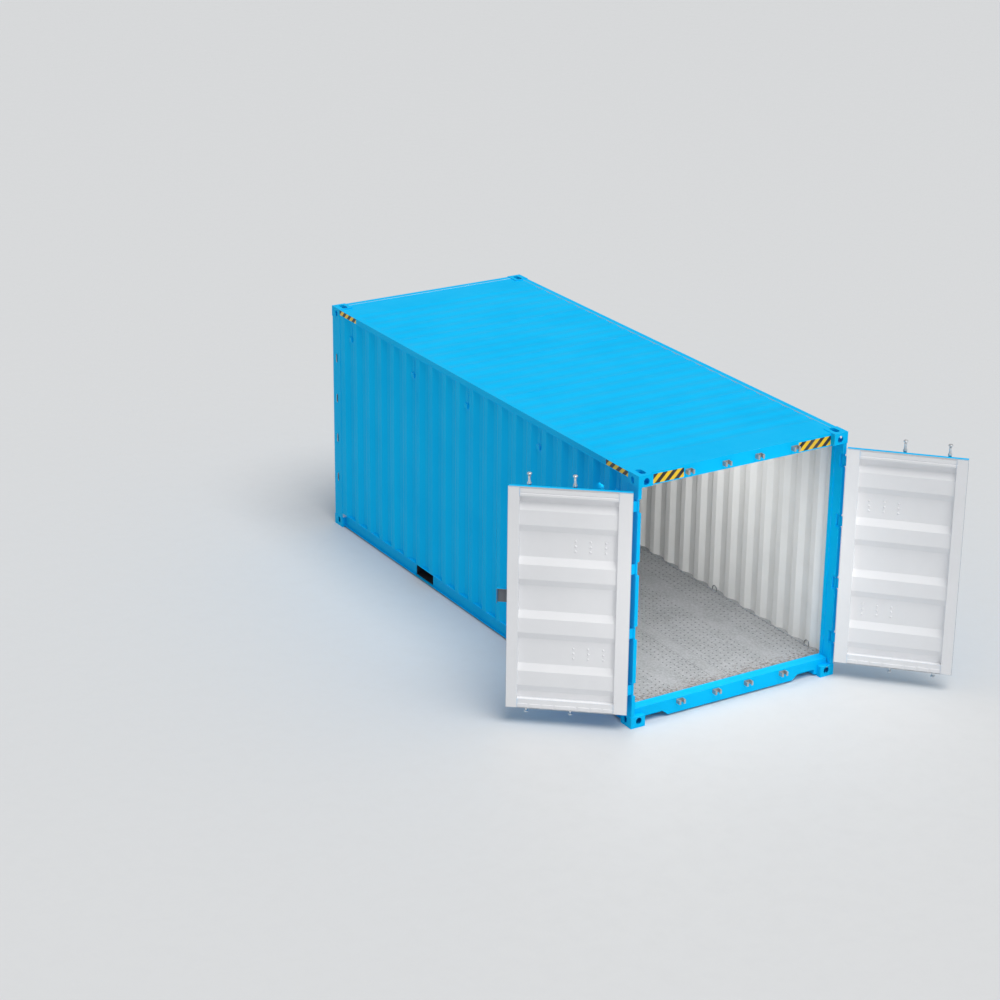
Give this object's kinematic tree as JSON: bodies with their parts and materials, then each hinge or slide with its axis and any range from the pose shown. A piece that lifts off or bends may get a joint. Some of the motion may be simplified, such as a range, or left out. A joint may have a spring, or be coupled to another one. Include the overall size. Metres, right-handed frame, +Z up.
{
  "type": "shipping container",
  "caption": "Closed steel cargo box with corrugated walls and roof, corner castings, fork pockets and double end doors with lock bars.",
  "frame": {"origin": "on the ground, at the centre of the four bottom corner-casting apertures", "axes": "+X along the length towards the doors, +Y across to the right-hand side for someone facing the doors, +Z up"},
  "size_m": [6.9603, 4.2468, 2.591],
  "materials": {
    "blue_paint": "bright blue container paint, semi-gloss, lightly worn",
    "wall_sheet": "pressed steel sheet: bright blue outside, off-white inside",
    "leaf_paint": "door leaf: white inside, bright blue outside and on its edges",
    "seal_rubber": "light grey door seal",
    "floor_plate": "worn grey tread plate",
    "underframe": "dark protective underframe coating",
    "zinc": "zinc-plated fittings",
    "bar_steel": "galvanised lock bars"
  },
  "bodies": {
    "container": {"bottom_corner_castings": "blue_paint", "top_corner_castings": "blue_paint", "rear_post_left": "blue_paint", "rear_post_right": "blue_paint", "front_posts": "blue_paint", "door_header": "blue_paint", "door_sill": "blue_paint", "front_header": "blue_paint", "front_sill": "blue_paint", "front_wall": "wall_sheet", "side_wall_left": "wall_sheet", "side_wall_right": "wall_sheet", "bottom_side_rails": "blue_paint", "top_side_rails": "blue_paint", "roof_panel": "wall_sheet", "cross_members": "underframe", "fork_pockets": "underframe", "floor_panels": "floor_plate", "floor_centre_strip": "floor_plate", "post_hinge_lugs_left": "blue_paint", "post_hinge_lugs_right": "blue_paint", "cam_keepers": "zinc", "wall_vents": "blue_paint", "lashing_rings": "zinc"},
    "left_door": {"leaf_stiles_left": "leaf_paint", "leaf_rails_left": "leaf_paint", "leaf_panel_left": "leaf_paint", "leaf_gasket_left": "seal_rubber", "hinge_blades_left": "blue_paint", "bar_hardware_left": "zinc", "lock_box": "zinc"},
    "right_door": {"leaf_stiles_right": "leaf_paint", "leaf_rails_right": "leaf_paint", "leaf_panel_right": "leaf_paint", "leaf_gasket_right": "seal_rubber", "hinge_blades_right": "blue_paint", "bar_hardware_right": "zinc"},
    "lock_bar_left_inner": {"lock_bar_left_inner": "bar_steel"},
    "lock_bar_left_outer": {"lock_bar_left_outer": "bar_steel"},
    "lock_bar_right_inner": {"lock_bar_right_inner": "bar_steel"},
    "lock_bar_right_outer": {"lock_bar_right_outer": "bar_steel"},
    "handle_left_inner": {"handle_left_inner": "zinc"},
    "handle_left_outer": {"handle_left_outer": "zinc"},
    "handle_right_inner": {"handle_right_inner": "zinc"},
    "handle_right_outer": {"handle_right_outer": "zinc"}
  },
  "joints": [
    {"name": "left_door_hinge", "type": "hinge", "parent": "container", "child": "left_door", "pos_m": [3.004, -1.203, 1.3], "axis": [0, 0, -1], "range_deg": [-219.4, 44.6]},
    {"name": "right_door_hinge", "type": "hinge", "parent": "container", "child": "right_door", "pos_m": [3.004, 1.203, 1.3], "axis": [0, 0, 1], "range_deg": [-134.3, 129.7]},
    {"name": "lock_bar_left_inner_turn", "type": "hinge", "parent": "left_door", "child": "lock_bar_left_inner", "pos_m": [2.36488, -1.98895, 1.3], "axis": [0, 0, 1], "range_deg": [-90, 20]},
    {"name": "lock_bar_left_outer_turn", "type": "hinge", "parent": "left_door", "child": "lock_bar_left_outer", "pos_m": [2.63655, -1.65822, 1.3], "axis": [0, 0, 1], "range_deg": [-90, 20]},
    {"name": "lock_bar_right_inner_turn", "type": "hinge", "parent": "right_door", "child": "lock_bar_right_inner", "pos_m": [3.73249, 1.90692, 1.3], "axis": [0, 0, -1], "range_deg": [-90, 20]},
    {"name": "lock_bar_right_outer_turn", "type": "hinge", "parent": "right_door", "child": "lock_bar_right_outer", "pos_m": [3.42617, 1.60799, 1.3], "axis": [0, 0, -1], "range_deg": [-90, 20]},
    {"name": "handle_left_inner_pivot", "type": "hinge", "parent": "lock_bar_left_inner", "child": "handle_left_inner", "pos_m": [2.33552, -1.96483, 1.3], "axis": [-0.6347, -0.7727, 0], "range_deg": [-90, 0]},
    {"name": "handle_left_outer_pivot", "type": "hinge", "parent": "lock_bar_left_outer", "child": "handle_left_outer", "pos_m": [2.60718, -1.6341, 1.3], "axis": [-0.6347, -0.7727, 0], "range_deg": [-90, 0]},
    {"name": "handle_right_inner_pivot", "type": "hinge", "parent": "lock_bar_right_inner", "child": "handle_right_inner", "pos_m": [3.70595, 1.93411, 1.3], "axis": [-0.7157, -0.6984, 0], "range_deg": [-90, 0]},
    {"name": "handle_right_outer_pivot", "type": "hinge", "parent": "lock_bar_right_outer", "child": "handle_right_outer", "pos_m": [3.39963, 1.63519, 1.3], "axis": [-0.7157, -0.6984, 0], "range_deg": [-90, 0]}
  ]
}
